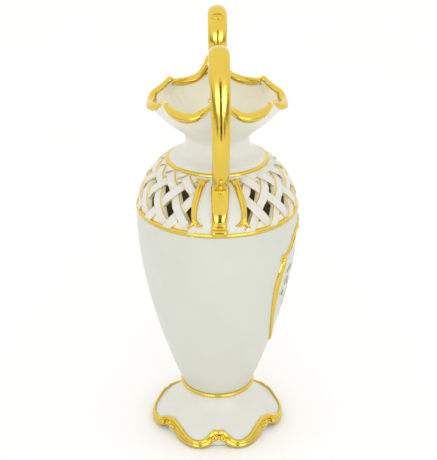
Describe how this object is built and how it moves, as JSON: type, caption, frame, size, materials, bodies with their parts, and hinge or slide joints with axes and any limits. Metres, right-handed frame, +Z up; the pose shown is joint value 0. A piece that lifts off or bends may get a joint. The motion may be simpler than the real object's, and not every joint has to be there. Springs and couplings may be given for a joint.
{
  "type": "vase",
  "caption": "Tall baluster vase with a lobed foot, an openwork woven shoulder, a ruffled mouth and two gilded loop handles.",
  "frame": {"origin": "on the table, on the vase's axis, at the centre of the foot", "axes": "+Z up; the two handles lie along X; the cartouche faces -Y"},
  "size_m": [0.1752, 0.1425, 0.377],
  "materials": {
    "porcelain": "glossy glaze over white porcelain",
    "gilding": "burnished gold over glazed porcelain",
    "bisque": "unglazed, ground flat"
  },
  "bodies": {
    "root": {"footring": "bisque", "foot": "porcelain", "foot_scrolls": "gilding", "foot_volutes": "gilding", "waist_ring": "gilding", "body": "porcelain", "lower_shoulder_ring": "gilding", "lattice_front_rising": "porcelain", "lattice_front_falling": "porcelain", "lattice_back_rising": "porcelain", "lattice_back_falling": "porcelain", "handle_panel_left": "porcelain", "handle_panel_right": "porcelain", "panel_scrolls_left": "gilding", "panel_scrolls_right": "gilding", "upper_shoulder_ring": "gilding", "collar": "porcelain", "mouth": "porcelain", "lip_front": "gilding", "lip_back": "gilding", "handle_left": "gilding", "handle_right": "gilding", "strap_left": "gilding", "strap_right": "gilding", "husk_left": "gilding", "husk_right": "gilding", "cartouche_left": "gilding", "cartouche_right": "gilding", "cartouche_crest": "gilding", "cartouche_base": "gilding"}
  },
  "joints": []
}
